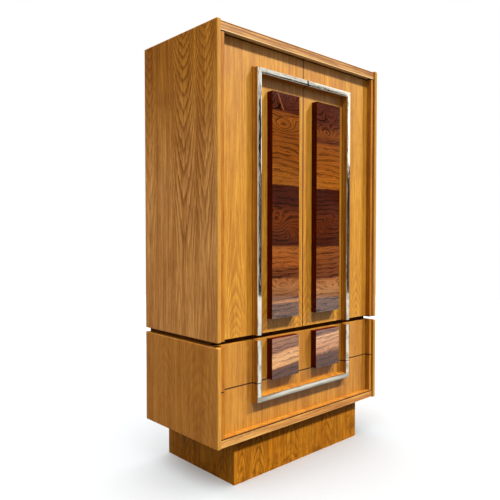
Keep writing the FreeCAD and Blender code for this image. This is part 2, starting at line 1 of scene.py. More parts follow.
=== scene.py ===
import math
import bpy
import bmesh
from mathutils import Euler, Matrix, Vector


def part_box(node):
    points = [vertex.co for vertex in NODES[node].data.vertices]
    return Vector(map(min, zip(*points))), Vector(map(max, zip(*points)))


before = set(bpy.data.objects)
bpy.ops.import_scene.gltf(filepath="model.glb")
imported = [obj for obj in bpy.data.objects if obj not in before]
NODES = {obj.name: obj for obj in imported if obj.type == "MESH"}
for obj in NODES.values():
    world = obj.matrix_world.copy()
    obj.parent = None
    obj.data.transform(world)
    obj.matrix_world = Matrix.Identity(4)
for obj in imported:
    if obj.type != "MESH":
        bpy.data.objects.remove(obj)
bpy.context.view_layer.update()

# The looks of the two-case armoire: oak, rosewood and chrome materials on the CAD pieces, with eased edges,
# the studio and the camera. Metres, +Z up, the front faces -Y. The CAD pieces stand at the origin, so a
# material's Object coordinates are places in the frame.
MM = 0.001
AXES = "xyz"
FRONT_LIGHT = 1.70       # how bright a white surface on the front would be under the studio's lights
SHADE_LIGHT = 0.80       # the same on the left side, which the key light misses


# ---------------------------------------------------------------- colours and node helpers
# In the materials the scale of a noise is in features per metre, and a tone is what a screen shows, 0 to 255.

def linear(red, green, blue, light=1.0):
    """A screen colour, 0 to 255, as the linear colour of a surface that shows it under so much light."""
    channels = []
    for value in (red, green, blue):
        part = value / 255
        part = part / 12.92 if part <= 0.04045 else ((part + 0.055) / 1.055) ** 2.4
        channels.append(min(part / light, 1.0))
    return (*channels, 1.0)


def front(red, green, blue):
    """The linear colour of a surface on the front that shows this tone."""
    return linear(red, green, blue, FRONT_LIGHT)


def shade(red, green, blue):
    """The same on the left side."""
    return linear(red, green, blue, SHADE_LIGHT)


class Nodes:
    """A node tree written as expressions: each method adds a node and returns its output socket."""

    def __init__(self, tree):
        self.tree = tree

    def split(self, vector):
        node = self.tree.nodes.new("ShaderNodeSeparateXYZ")
        self.tree.links.new(vector, node.inputs[0])
        return node.outputs[0], node.outputs[1], node.outputs[2]

    def feed(self, socket, value):
        """Link another socket here, or set a plain value."""
        if isinstance(value, bpy.types.NodeSocket):
            self.tree.links.new(value, socket)
        else:
            socket.default_value = value

    def math(self, operation, *values):
        node = self.tree.nodes.new("ShaderNodeMath")
        node.operation = operation
        for socket, value in zip(node.inputs, values):
            self.feed(socket, value)
        return node.outputs[0]

    def add(self, first, *others):
        total = first
        for value in others:
            total = self.math("ADD", total, value)
        return total

    def minus(self, a, b):
        return self.math("SUBTRACT", a, b)

    def times(self, first, *others):
        product = first
        for value in others:
            product = self.math("MULTIPLY", product, value)
        return product

    def absolute(self, value):
        return self.math("ABSOLUTE", value)

    def vector(self, x, y, z):
        node = self.tree.nodes.new("ShaderNodeCombineXYZ")
        for socket, value in zip(node.inputs, (x, y, z)):
            self.feed(socket, value)
        return node.outputs[0]

    def noise(self, vector, scale, detail=2.0, roughness=0.5, distortion=0.0):
        node = self.tree.nodes.new("ShaderNodeTexNoise")
        self.feed(node.inputs["Vector"], vector)
        for name, value in (("Scale", scale), ("Detail", detail), ("Roughness", roughness),
                            ("Distortion", distortion)):
            node.inputs[name].default_value = value
        return node.outputs["Fac"]

    def cells(self, vector, scale):
        """Distance to the nearest of many scattered points."""
        node = self.tree.nodes.new("ShaderNodeTexVoronoi")
        self.feed(node.inputs["Vector"], vector)
        node.inputs["Scale"].default_value = scale
        return node.outputs["Distance"]

    def remap(self, value, low, high, out_low=0.0, out_high=1.0, smooth=True):
        """Carry a value from low..high to out_low..out_high, held at both ends. low is the smaller."""
        node = self.tree.nodes.new("ShaderNodeMapRange")
        node.interpolation_type = "SMOOTHSTEP" if smooth else "LINEAR"
        for socket, item in zip(node.inputs, (value, low, high, out_low, out_high)):
            self.feed(socket, item)
        return node.outputs[0]

    def ramp(self, fac, stops):
        """A colour ramp through stops of (position, colour), the first at 0 and the last at 1."""
        node = self.tree.nodes.new("ShaderNodeValToRGB")
        points = node.color_ramp.elements       # a new ramp has one at each end
        for position, _ in stops[1:-1]:
            points.new(position)
        for point, (_, colour) in zip(points, stops):
            point.color = colour
        self.feed(node.inputs[0], fac)
        return node.outputs[0]

    def mix(self, fac, a, b, blend="MIX"):
        node = self.tree.nodes.new("ShaderNodeMix")
        node.data_type = "RGBA"
        node.blend_type = blend
        self.feed(node.inputs[0], fac)
        self.feed(node.inputs[6], a)
        self.feed(node.inputs[7], b)
        return node.outputs[2]

    def bump(self, height, strength, distance):
        node = self.tree.nodes.new("ShaderNodeBump")
        node.inputs["Strength"].default_value = strength
        node.inputs["Distance"].default_value = distance
        self.feed(node.inputs["Height"], height)
        return node.outputs[0]


class Graph(Nodes):
    """A material, with the place and the facing of each point in the frame."""

    def __init__(self, name):
        self.material = bpy.data.materials.new(name)
        self.material.use_nodes = True
        super().__init__(self.material.node_tree)
        self.shader = self.tree.nodes["Principled BSDF"]
        place = self.tree.nodes.new("ShaderNodeTexCoord")
        self.position = place.outputs["Object"]
        self.x, self.y, self.z = self.split(self.position)
        self.normal = self.split(place.outputs["Normal"])
        self.axis = {"x": self.x, "y": self.y, "z": self.z}

    def finish(self, colour, roughness, normal=None, **uniform):
        """Wire up the shader and return the material. uniform holds plain numbers, by socket name."""
        self.feed(self.shader.inputs["Base Color"], colour)
        self.feed(self.shader.inputs["Roughness"], roughness)
        if normal is not None:
            self.feed(self.shader.inputs["Normal"], normal)
        for name, value in uniform.items():
            self.shader.inputs[name.replace("_", " ")].default_value = value
        return self.material


def give(node, material, easing=0.0, segments=2):
    """Every slot of a CAD piece takes the material. With easing, a bevel that wide rounds its sharp edges."""
    for slot in NODES[node].material_slots:
        slot.material = material
    if easing:
        bevel = NODES[node].modifiers.new("eased_edges", "BEVEL")
        bevel.width = easing
        bevel.segments = segments
        bevel.limit_method = "ANGLE"
        bevel.angle_limit = math.radians(30)


# ---------------------------------------------------------------- oak

class Stock:
    """One stock of oak: four tones as they look where it stands (lit says how: front or shade), how strongly
    its rings show, and how glossy its lacquer is."""

    def __init__(self, lit, light, middle, dark, pore, contrast, gloss):
        self.light, self.middle, self.dark, self.pore = (lit(*tone) for tone in (light, middle, dark, pore))
        self.contrast = contrast
        self.gloss = gloss


class Figure:
    """Nested arches in each leaf of veneer.

    leaves: (centre across the grain, half width) of each leaf
    turn: the height where the arches turn over; they point down above it and up below it
    pitch: from one arch to the next, where they are closest
    steep: how fast an arch climbs away from its leaf's centre
    dense, fade: with fade, the arches are close at the height dense and draw out away from it
    jag, blunt: how ragged the lines are, and how rounded the arches' tips
    calm: the height below which the arches are faint
    line: the part of a pitch where its dark line sets in
    rift, ink: how dark the straight lines between the arches are, and the arches themselves
    """

    def __init__(self, leaves, turn, pitch, steep, dense=None, fade=None, jag=0.9, blunt=0.02, calm=0.0,
                 line=0.30, rift=0.28, ink=1.0):
        self.leaves = leaves
        self.turn = turn
        self.pitch = pitch
        self.steep = steep
        self.dense = dense
        self.fade = fade
        self.jag = jag
        self.blunt = blunt
        self.calm = calm
        self.line = line
        self.rift = rift
        self.ink = ink


FRONT_STOCK = Stock(front, (248, 182, 60), (214, 142, 18), (146, 74, 0), (118, 56, 0), 1.0, 0.45)
DRAWER_STOCK = Stock(front, (222, 154, 50), (194, 126, 20), (140, 74, 2), (108, 52, 0), 0.75, 0.48)
TRIM_STOCK = Stock(front, (222, 152, 48), (194, 118, 18), (142, 70, 2), (112, 50, 0), 1.0, 0.22)
SIDE_STOCK = Stock(shade, (218, 162, 96), (164, 106, 46), (104, 56, 14), (84, 42, 8), 1.0, 0.05)
LOW_SIDE_STOCK = Stock(shade, (180, 124, 56), (156, 98, 34), (108, 60, 14), (84, 44, 8), 0.8, 0.05)
# The top panel's stock is darker than the sides' so the top does not glare under the key light: painted
# shade.
TOP_STOCK = Stock(front, (186, 128, 50), (156, 98, 24), (116, 62, 8), (92, 44, 2), 0.8, 0.05)
RAIL_STOCK = Stock(front, (252, 194, 108), (218, 146, 62), (132, 62, 10), (104, 46, 6), 1.0, 0.30)
BASE_STOCK = Stock(front, (226, 148, 38), (190, 112, 16), (72, 30, 0), (62, 26, 0), 1.1, 0.04)
INNER_STOCK = Stock(front, (206, 158, 90), (192, 140, 70), (160, 108, 46), (122, 78, 32), 0.6, 0.30)
GAP_SHADE_RED = front(74, 20, 14)              # painted shade for the gaps, on the edges of doors and drawers
ARCH_RISE, ARCH_FLARE = 0.044, 0.020      # what an arch climbs on the way to its leaf's edge, evenly and late
TURN_SOFTNESS = 0.0016                    # the square of the height over which the arches turn over
PLAIN_RINGS, FIGURED_RINGS = 0.42, 0.80   # how dark the rings are in plain and in figured boards


def grain_axes(node, along):
    """Letters of the board's axes: across the grain on its widest face, and through its thickness."""
    low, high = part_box(node)
    spans = {letter: high[i] - low[i] for i, letter in enumerate(AXES)}
    thin, wide = sorted((letter for letter in AXES if letter != along), key=lambda letter: spans[letter])
    return wide, thin


def edge_distance(graph, node):
    """Distance to the board's nearest arris: the middle one of the distances to its three pairs of faces."""
    low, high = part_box(node)
    gaps = []
    for i, letter in enumerate(AXES):
        offset = graph.absolute(graph.minus(graph.axis[letter], (low[i] + high[i]) / 2))
        gaps.append(graph.minus((high[i] - low[i]) / 2, offset))
    smaller = graph.math("MINIMUM", gaps[0], gaps[1])
    larger = graph.math("MAXIMUM", gaps[0], gaps[1])
    return graph.math("MAXIMUM", smaller, graph.math("MINIMUM", larger, gaps[2]))


def arches(graph, figure, across, along, through, seed):
    """The dark lines and the pale crests between them, each 0 to 1. They are contours of a height that climbs
    away from the middle of each leaf."""
    # The wander bends the arches slowly, and the feather frays them along the fibres.
    place = graph.vector(graph.add(across, seed), graph.times(along, 0.30), through)
    wander = graph.minus(graph.noise(place, 9.0, 2.0, 0.5), 0.5)
    fibres = graph.vector(graph.add(across, seed), graph.times(along, 0.07), through)
    feather = graph.minus(graph.noise(fibres, 150.0, 3.0, 0.7), 0.5)
    # How far out in its leaf each point is: 0 at the centre, 1 at the edge.
    away = None
    for centre, half in figure.leaves:
        here = graph.math("DIVIDE", graph.absolute(graph.minus(across, centre)), half)
        away = here if away is None else graph.math("MINIMUM", away, here)
    away = graph.math("MAXIMUM", graph.add(away, graph.times(wander, 0.55)), 0.0)
    away = graph.math("SQRT", graph.add(graph.times(away, away), figure.blunt))
    square = graph.times(away, away)
    # The height on the board, folded at the turn, less what the arch climbs there.
    climb = graph.add(graph.times(away, ARCH_RISE), graph.times(square, square, ARCH_FLARE))
    level = graph.minus(along, figure.turn)
    level = graph.math("SQRT", graph.add(graph.times(level, level), TURN_SOFTNESS))
    if figure.fade:
        farthest = abs(figure.turn - figure.dense)
        power = graph.times(graph.minus(level, farthest), 1 / figure.fade)
        level = graph.times(graph.math("EXPONENT", power), figure.fade)
        steepness = figure.steep
    else:
        steepness = graph.remap(level, 0.0, 0.55, figure.steep * 2.2, figure.steep)
        gait = graph.minus(graph.noise(graph.vector(graph.times(across, 2.0), along, seed), 7.0, 1.0), 0.5)
        level = graph.add(level, graph.times(gait, 0.10))
    height = graph.minus(level, graph.times(climb, steepness))
    height = graph.add(height, graph.times(wander, 0.6 * figure.pitch),
                       graph.times(feather, figure.jag * figure.pitch))
    # Each pitch of it holds a pale crest, then a line that darkens slowly and ends at once.
    ring = graph.math("FRACT", graph.math("DIVIDE", height, figure.pitch))
    line = graph.times(graph.remap(ring, figure.line, 0.5 * figure.line + 0.57),
                       graph.remap(ring, 0.86, 1.0, 1.0, 0.0))
    crest = graph.remap(ring, 0.0, 0.30, 1.0, 0.0)
    fade = graph.remap(away, 1.2, 2.0, figure.ink, 0.12)
    strong = graph.remap(graph.noise(place, 5.0, 1.0, 0.5), 0.3, 0.7, 0.45, 1.0)
    strong = graph.times(strong, graph.remap(along, figure.calm - 0.2, figure.calm + 0.2, 0.35, 1.0))
    if figure.fade:
        strong = graph.times(strong, graph.remap(along, figure.dense + 0.15, figure.dense + 0.8, 1.0, 0.3))
    return graph.times(line, fade, strong), graph.times(crest, fade, strong)


def straight_rings(graph, across, along, through, seed):
    """Rings of rift-sawn stock: long, nearly parallel lines along the grain."""
    place = graph.vector(graph.add(across, seed), graph.times(along, 0.05), graph.times(through, 0.8))
    return graph.remap(graph.noise(place, 85.0, 4.0, 0.75), 0.46, 0.60)


def oak(node, stock, along, figure, seed, finish=None, wear_and_highlight=0.5):
    """An oak material for one board: rings, streaks, open pores, pale arrises (rubbing with a painted
    highlight) and a satin lacquer. Its grain runs along the axis named, with the figure given or straight.
    seed moves the pattern, finish changes the colour last, and wear is how pale the arrises are, rubbed and
    highlit."""
    graph = Graph("oak_" + node)
    wide, thin = grain_axes(node, along)
    across, length, through = graph.axis[wide], graph.axis[along], graph.axis[thin]
    fibre = graph.vector(graph.add(across, seed), graph.times(length, 0.03), graph.add(through, seed))
    streak = graph.remap(graph.noise(fibre, 30.0, 4.0, 0.7), 0.30, 0.70)
    thread = graph.remap(graph.noise(fibre, 210.0, 4.0, 0.75), 0.42, 0.60)
    pores = graph.remap(graph.noise(fibre, 950.0, 1.0, 0.4), 0.54, 0.68)
    rings = straight_rings(graph, across, length, through, seed)
    strength = PLAIN_RINGS
    colour = graph.mix(streak, stock.light, stock.middle)
    if figure:
        drawn, crest = arches(graph, figure, across, length, through, seed)
        rings = graph.math("MAXIMUM", drawn, graph.times(rings, figure.rift))
        strength = FIGURED_RINGS
        colour = graph.mix(graph.times(crest, 0.8), colour, stock.light)
    colour = graph.mix(graph.times(rings, strength * stock.contrast), colour, stock.dark)
    colour = graph.mix(graph.times(thread, 0.36 * stock.contrast), colour, stock.dark)
    colour = graph.mix(graph.times(pores, graph.add(0.20, graph.times(rings, 0.35))), colour, stock.pore)
    edge = edge_distance(graph, node)
    # The arrises: paled by rubbing, and by a painted highlight where an edge would catch the light.
    rub = graph.remap(graph.noise(graph.position, 55.0, 3.0, 0.6), 0.38, 0.66, 0.2, 1.0)
    worn_and_highlit = graph.times(graph.remap(edge, 0.4 * MM, 3.0 * MM, 1.0, 0.0), rub, wear_and_highlight)
    colour = graph.mix(worn_and_highlit, colour, stock.light)
    soil = graph.remap(graph.noise(graph.position, 6.0, 4.0, 0.65), 0.40, 0.72, 0.0, 0.22)
    colour = graph.mix(soil, colour, stock.dark)
    if finish:
        colour = finish(graph, colour)
    height = graph.minus(graph.times(rings, -0.35), pores)
    shine = graph.add(0.42, graph.times(streak, 0.07), graph.times(worn_and_highlit, 0.12), graph.times(pores, 0.06))
    normal = graph.bump(height, 0.22, 0.4 * MM)
    return graph.finish(colour, shine, normal, Specular_IOR_Level=stock.gloss)


def side_finish(graph, colour):
    """The side veneer is deepest and yellowest near the top, and its front edge is lipped with plain oak."""
    colour = graph.mix(graph.remap(graph.z, 1.05, 1.78, 0.0, 0.9), colour, shade(206, 188, 90), "MULTIPLY")
    upper_back = graph.times(graph.remap(graph.y, -0.20, 0.247), graph.remap(graph.z, 1.15, 1.78), 0.45)
    colour = graph.mix(upper_back, colour, shade(150, 126, 60), "MULTIPLY")
    front_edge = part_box("upper_left_side")[0][1]
    fibre = graph.vector(graph.x, graph.y, graph.times(graph.z, 0.04))
    thread = graph.remap(graph.noise(fibre, 300.0, 3.0, 0.6), 0.3, 0.7)
    lipping = graph.mix(thread, front(218, 160, 78), front(196, 134, 50))
    behind = graph.minus(graph.y, front_edge)
    return graph.mix(graph.remap(behind, 2.5 * MM, 4.5 * MM, 1.0, 0.0), colour, lipping)


def gap_shaded(graph, colour, gap):
    """Painted shade in the gaps: dark red-brown on the edges of doors and drawers, where gap, the distance to
    where they meet, is least, and where they face the case."""
    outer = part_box("right_door_panel")[1][0]
    to_case = graph.absolute(graph.minus(graph.absolute(graph.x), outer))
    edge = graph.math("MINIMUM", gap, graph.add(to_case, 0.4 * MM))
    return graph.mix(graph.remap(edge, 2.0 * MM, 3.2 * MM, 1.0, 0.0), colour, GAP_SHADE_RED)


def door_gap_shade(graph, colour):
    """Painted shade in the gaps where the doors meet, on the middle line, and where they face the case."""
    return gap_shaded(graph, colour, graph.absolute(graph.x))


def drawer_gap_shade(graph, colour):
    """Painted shade in the gaps where the drawers meet, at the lower one's foot, and where they face the
    case.
    """
    foot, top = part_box("lower_drawer_front")
    split = (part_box("upper_drawer_front")[0][2] + top[2]) / 2
    to_split = graph.absolute(graph.minus(graph.z, split))
    to_foot = graph.absolute(graph.minus(graph.z, foot[2]))
    return gap_shaded(graph, colour, graph.math("MINIMUM", to_split, to_foot))


def shadow_line(graph, colour):
    """The top panel's front edge, which shows over the rail: pale along its arris and dark above the rail."""
    low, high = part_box("upper_top_panel")
    exposed = graph.remap(graph.minus(graph.y, low[1]), 1.0 * MM, 2.0 * MM, 1.0, 0.0)
    upper = graph.remap(graph.z, high[2] - 3.0 * MM, high[2] - 1.5 * MM)
    return graph.mix(exposed, colour, graph.mix(upper, front(84, 42, 8), front(206, 146, 62)))


def rail_lines(graph, colour):
    """The top rail's face: dark lines along its grain, one of them a third of the way down, and a painted
    highlight along its lower arris."""
    low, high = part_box("top_rail")
    grain = graph.noise(graph.vector(graph.times(graph.x, 0.02), graph.y, graph.z), 230.0, 3.0, 0.7)
    colour = graph.mix(graph.remap(grain, 0.46, 0.62, 0.0, 0.75), colour, front(146, 84, 24))
    drop = graph.absolute(graph.minus(graph.z, high[2] - 10.0 * MM))
    colour = graph.mix(graph.remap(drop, 0.6 * MM, 2.6 * MM, 0.8, 0.0), colour, front(120, 64, 14))
    # painted highlight: the lower arris pale, as where it catches the light
    return graph.mix(graph.remap(graph.z, low[2] + 1.5 * MM, low[2] + 4.0 * MM, 0.9, 0.0), colour,
                     front(255, 222, 158))


def shaded_ledge(graph, colour):
    """The bottom rail's top face behind its pale arris, dark with painted shade from the gap above it."""
    front_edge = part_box("bottom_rail")[0][1]
    behind = graph.remap(graph.minus(graph.y, front_edge), 3.0 * MM, 5.0 * MM)
    upward = graph.remap(graph.normal[2], 0.6, 0.8)
    return graph.mix(graph.times(behind, upward, 0.9), colour, front(96, 44, 8))


SCUFF_UP, SCUFF_BACK, SCUFF_LEAN = 0.129, 0.085, 0.55      # above the side's foot, behind its front, slope


def scratched(graph, colour):
    """The lower side's finish, with a short dark scuff near its front edge."""
    colour = side_finish(graph, colour)
    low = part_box("lower_left_side")[0]
    along = graph.minus(graph.z, low[2] + SCUFF_UP)
    aside = graph.add(graph.minus(graph.y, low[1] + SCUFF_BACK), graph.times(along, SCUFF_LEAN))
    wobble = graph.times(graph.minus(graph.noise(graph.position, 90.0, 2.0), 0.5), 3.0 * MM)
    mark = graph.times(graph.remap(graph.absolute(graph.add(aside, wobble)), 0.6 * MM, 2.4 * MM, 1.0, 0.0),
                       graph.remap(graph.absolute(along), 12.0 * MM, 20.0 * MM, 1.0, 0.0))
    outside = graph.math("LESS_THAN", graph.x, low[0] + 1.0 * MM)
    return graph.mix(graph.times(mark, outside, 0.7), colour, shade(84, 44, 12))


def dress_case():
    """The panels, rails and shelves. The side veneer's leaves are placed from its front edge."""
    low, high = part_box("upper_left_side")
    front_edge = low[1]
    upper = Figure([(front_edge + 0.073, 0.056), (front_edge + 0.208, 0.066), (front_edge + 0.454, 0.056)],
                   0.86, 0.036, 1.5, dense=high[2], fade=0.52, jag=1.0, blunt=0.012, calm=0.95, line=0.42,
                   ink=0.85)
    lower = Figure([(front_edge + 0.11, 0.09), (front_edge + 0.36, 0.08)], 1.2, 0.060, 2.2, calm=0.9)
    for side in ("left", "right"):
        give(f"upper_{side}_side", oak(f"upper_{side}_side", SIDE_STOCK, "z", upper, 0.3, side_finish))
        give(f"lower_{side}_side", oak(f"lower_{side}_side", LOW_SIDE_STOCK, "z", lower, 0.9, scratched))
    give("top_rail", oak("top_rail", RAIL_STOCK, "x", None, 0.53, rail_lines, wear_and_highlight=0.6), 1.6 * MM, 3)
    give("bottom_rail", oak("bottom_rail", RAIL_STOCK, "x", None, 0.53, shaded_ledge, wear_and_highlight=0.9), 1.6 * MM, 3)
    give("upper_top_panel", oak("upper_top_panel", TOP_STOCK, "x", None, 0.81, shadow_line, wear_and_highlight=0.0))
    for node in ("upper_bottom_panel", "lower_top_panel", "lower_bottom_panel", "low_shelf", "middle_shelf",
                 "top_shelf"):
        give(node, oak(node, INNER_STOCK, "x", None, 0.11), 0.6 * MM)


LEAF_CENTRES = (0.036, 0.222, 0.388)      # of the doors' veneer, out from the middle line
LEAF_HALF = 0.040


def dress_fronts():
    """Doors and drawer fronts, with their strips and mouldings."""
    leaves = [(side * centre, LEAF_HALF) for side in (-1, 1) for centre in LEAF_CENTRES]
    door_low, door_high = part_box("left_door_panel")
    door_figure = Figure(leaves, door_high[2] + 0.3, 0.026, 0.8, door_low[2], 0.20, ink=0.62)
    for side in ("left", "right"):
        node = f"{side}_door_panel"
        give(node, oak(node, FRONT_STOCK, "z", door_figure, 0.2, door_gap_shade), 0.5 * MM)
        for part, along, seed in (("strip", "z", 0.37), ("side_moulding", "z", 0.37),
                                  ("top_moulding", "x", 0.61)):
            node = f"{side}_door_{part}"
            give(node, oak(node, TRIM_STOCK, along, None, seed, door_gap_shade), 0.6 * MM)
    for drawer in ("upper_drawer", "lower_drawer"):
        node = f"{drawer}_front"
        give(node, oak(node, DRAWER_STOCK, "z", None, 0.7, drawer_gap_shade), 0.5 * MM)
        for part in ("strips", "mouldings"):
            node = f"{drawer}_{part}"
            give(node, oak(node, TRIM_STOCK, "z", None, 0.37, drawer_gap_shade), 0.6 * MM)


def smudged(graph, colour):
    """Dark marks low on the plinth, where it has been kicked and mopped around."""
    blotch = graph.remap(graph.noise(graph.position, 30.0, 5.0, 0.7), 0.50, 0.64)
    low_down = graph.remap(graph.z, 0.01, 0.11, 0.6, 0.0)
    return graph.mix(graph.times(blotch, low_down), colour, front(92, 44, 4))


def plinth_figure(leaves):
    """Broad, smooth, blunt arches, which the plinth's boards share."""
    return Figure(leaves, 0.9, 0.060, 1.7, jag=0.12, blunt=0.10, line=0.44, rift=0.40, ink=0.72)


def dress_plinth():
    low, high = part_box("plinth_front")
    width = high[0] - low[0]
    parts = ((0.05, 0.028), (0.17, 0.040), (0.42, 0.044), (0.72, 0.046), (0.93, 0.036))
    across_front = plinth_figure([(low[0] + width * part, half) for part, half in parts])
    across_side = plinth_figure([(-0.14, 0.040), (0.08, 0.044)])
    for node, figure, seed, finish in (("plinth_front", across_front, 0.15, smudged),
                                       ("plinth_left", across_side, 0.5, smudged),
                                       ("plinth_right", across_side, 0.8, smudged),
                                       ("plinth_back", None, 0.4, None)):
        give(node, oak(node, BASE_STOCK, "z", figure, seed, finish), 1.0 * MM)


# ---------------------------------------------------------------- rosewood

ROSE_LINE = front(28, 5, 0)
ROSE_PORE = front(22, 8, 5)
FINE_LINES, BANDS = 128.0, 44.0           # dark lines per metre of the bent height, thin ones and broad ones
STREAK_X, STREAK_Z, STREAK_LEAN = -0.170, 1.531, 0.51       # the pale streak's middle, and its slope
# Colours up a block, as (height in metres, colour): two stops at nearly one height are a seam. The greyish
# tones at the foot of the tall blocks and the dusky lower part of the short ones are painted reflection of
# the room, laid over the veneer's own colour.
LEFT_TONES = (
    (0.643, (123, 86, 70)), (0.700, (127, 88, 72)), (0.702, (201, 139, 90)), (0.714, (192, 127, 78)),
    (0.717, (137, 82, 56)), (0.765, (186, 121, 72)), (0.798, (174, 105, 58)), (0.808, (113, 59, 35)),
    (0.850, (148, 80, 40)), (0.862, (172, 93, 40)), (0.930, (176, 98, 38)), (0.944, (76, 26, 8)),
    (1.000, (114, 50, 17)), (1.060, (126, 58, 20)), (1.110, (78, 27, 10)), (1.188, (80, 26, 9)),
    (1.190, (170, 98, 27)), (1.300, (154, 82, 24)), (1.400, (148, 78, 24)), (1.460, (166, 91, 31)),
    (1.488, (143, 74, 29)), (1.494, (90, 41, 26)), (1.568, (108, 52, 38)),
)
RIGHT_TONES = (
    (0.643, (119, 86, 74)), (0.700, (123, 88, 76)), (0.703, (156, 103, 72)), (0.735, (201, 139, 88)),
    (0.782, (188, 119, 70)), (0.790, (131, 72, 45)), (0.850, (139, 73, 36)), (0.930, (159, 85, 33)),
    (0.935, (80, 28, 10)), (1.030, (112, 48, 17)), (1.120, (86, 30, 10)), (1.187, (76, 24, 8)),
    (1.189, (186, 106, 30)), (1.290, (172, 93, 28)), (1.386, (156, 84, 30)), (1.390, (106, 51, 28)),
    (1.430, (152, 82, 35)), (1.470, (102, 48, 30)), (1.568, (100, 48, 34)),
)
LEFT_LOW_TONES = (
    (0.394, (110, 67, 55)), (0.430, (100, 56, 46)), (0.452, (110, 64, 44)), (0.455, (241, 174, 110)),
    (0.500, (249, 187, 126)), (0.518, (223, 154, 103)), (0.522, (148, 97, 73)), (0.561, (176, 120, 89)),
)
RIGHT_LOW_TONES = (
    (0.394, (96, 55, 46)), (0.444, (109, 63, 48)), (0.462, (211, 146, 104)), (0.532, (247, 185, 136)),
    (0.535, (136, 96, 81)), (0.561, (162, 118, 101)),
)


def toned(graph, tones, height):
    """The colour of a block at a height, from its list of tones."""
    low, high = tones[0][0], tones[-1][0]
    stops = [((level - low) / (high - low), front(*colour)) for level, colour in tones]
    return graph.ramp(graph.remap(height, low, high, smooth=False), stops)


def veneer(graph, tones, eyes, seed, slant):
    """Figured rosewood with its grain across: its colour, and what stands in for its height in the bump. Its
    dark lines are contours of the height on the block, bent by slow noise and lifted at each eye.
    An eye is (x, z, half width, half height, lift)."""
    place = graph.vector(graph.add(graph.x, seed), graph.y, graph.times(graph.z, 2.2))
    wander = graph.minus(graph.noise(place, 6.5, 2.0, 0.5, 0.3), 0.5)
    ripple = graph.minus(graph.noise(place, 34.0, 4.0, 0.72, 0.5), 0.5)
    height = graph.add(graph.z, graph.times(graph.x, slant), graph.times(wander, 0.056),
                       graph.times(ripple, 0.009))
    for x, z, wide, tall, lift in eyes:
        a = graph.times(graph.minus(graph.x, x), 1 / wide)
        b = graph.times(graph.minus(graph.z, z), 1 / tall)
        square = graph.add(graph.times(a, a), graph.times(b, b))
        height = graph.add(height, graph.times(graph.math("EXPONENT", graph.times(square, -1.0)), lift))
    base = toned(graph, tones, graph.add(graph.z, graph.times(ripple, 0.010), graph.times(graph.x, slant)))
    # Both sorts of line darken slowly and end at once. They are fainter here and there, and on pale tones.
    fine = graph.math("FRACT", graph.times(height, FINE_LINES))
    fine = graph.times(graph.remap(fine, 0.55, 0.84), graph.remap(fine, 0.90, 1.0, 1.0, 0.0))
    band = graph.math("FRACT", graph.times(height, BANDS))
    band = graph.times(graph.remap(band, 0.50, 0.88), graph.remap(band, 0.92, 1.0, 1.0, 0.0))
    where = graph.remap(graph.noise(place, 13.0, 2.0, 0.6), 0.34, 0.60, 0.40, 1.0)
    where = graph.times(where, graph.remap(graph.split(base)[0], 0.05, 0.25, 1.0, 0.60))
    fibre = graph.vector(graph.times(graph.x, 0.045), graph.y, graph.z)
    pores = graph.remap(graph.noise(fibre, 1300.0, 1.0, 0.4), 0.55, 0.68)
    smoke = graph.remap(graph.noise(fibre, 150.0, 4.0, 0.7), 0.40, 0.66)
    colour = graph.mix(graph.times(smoke, 0.45), base, graph.mix(0.45, base, ROSE_LINE))
    colour = graph.mix(graph.times(fine, where, 0.92), colour, ROSE_LINE)
    colour = graph.mix(graph.times(band, where, 0.90), colour, ROSE_LINE)
    colour = graph.mix(graph.times(pores, 0.4), colour, ROSE_PORE)
    return colour, graph.add(fine, pores)


def left_veneer(graph, eyes):
    """The left block's veneer, with the pale streak that slants down through its dark top leaf."""
    colour, height = veneer(graph, LEFT_TONES, eyes, 0.0, 0.02)
    rise = graph.minus(graph.z, STREAK_Z)
    aside = graph.absolute(graph.add(graph.x, -STREAK_X, graph.times(rise, STREAK_LEAN)))
    streak = graph.times(graph.remap(aside, 1.0 * MM, 5.0 * MM, 1.0, 0.0),
                         graph.remap(graph.absolute(rise), 28.0 * MM, 36.0 * MM, 1.0, 0.0))
    return graph.mix(graph.times(streak, 0.75), colour, front(170, 98, 52)), height


def shaded_mahogany_edge(graph):
    """The block's returns: dark mahogany with fine upright grain, deepened with painted shade, as they face
    away from the light.
    """
    fibre = graph.vector(graph.x, graph.y, graph.times(graph.z, 0.05))
    thread = graph.noise(fibre, 240.0, 3.0, 0.6)
    return graph.mix(graph.remap(thread, 0.3, 0.7), front(60, 0, 0), front(104, 14, 0))


def rosewood(name, veneer_of):
    """A lacquered block. veneer_of draws its face, its returns are dark mahogany with painted shade, and pale
    specks show where the tall blocks have been knocked near the foot."""
    graph = Graph(name)
    colour, height = veneer_of(graph)
    facing = graph.remap(graph.absolute(graph.normal[1]), 0.55, 0.8)
    # the returns take the darker colour: mahogany with painted shade
    colour = graph.mix(facing, shaded_mahogany_edge(graph), colour)
    haze = graph.noise(graph.position, 16.0, 3.0, 0.6)
    scuff = graph.remap(graph.noise(graph.position, 170.0, 3.0, 0.7), 0.62, 0.67)
    on_tall = graph.math("GREATER_THAN", graph.z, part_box("left_door_block")[0][2] - 1.0 * MM)
    low_down = graph.remap(graph.z, 0.66, 0.73, 1.0, 0.05)
    low_down = graph.times(low_down, graph.add(0.2, graph.times(on_tall, 0.8)))
    colour = graph.mix(graph.times(scuff, low_down, 0.6), colour, front(226, 210, 200))
    shine = graph.add(0.30, graph.times(haze, 0.22), graph.times(scuff, 0.2))
    normal = graph.bump(height, 0.10, 0.3 * MM)
    graph.feed(graph.shader.inputs["Coat Weight"], graph.remap(facing, 0.0, 1.0, 0.3, 1.0))
    return graph.finish(colour, shine, normal, Specular_IOR_Level=0.0, Coat_Roughness=0.05)


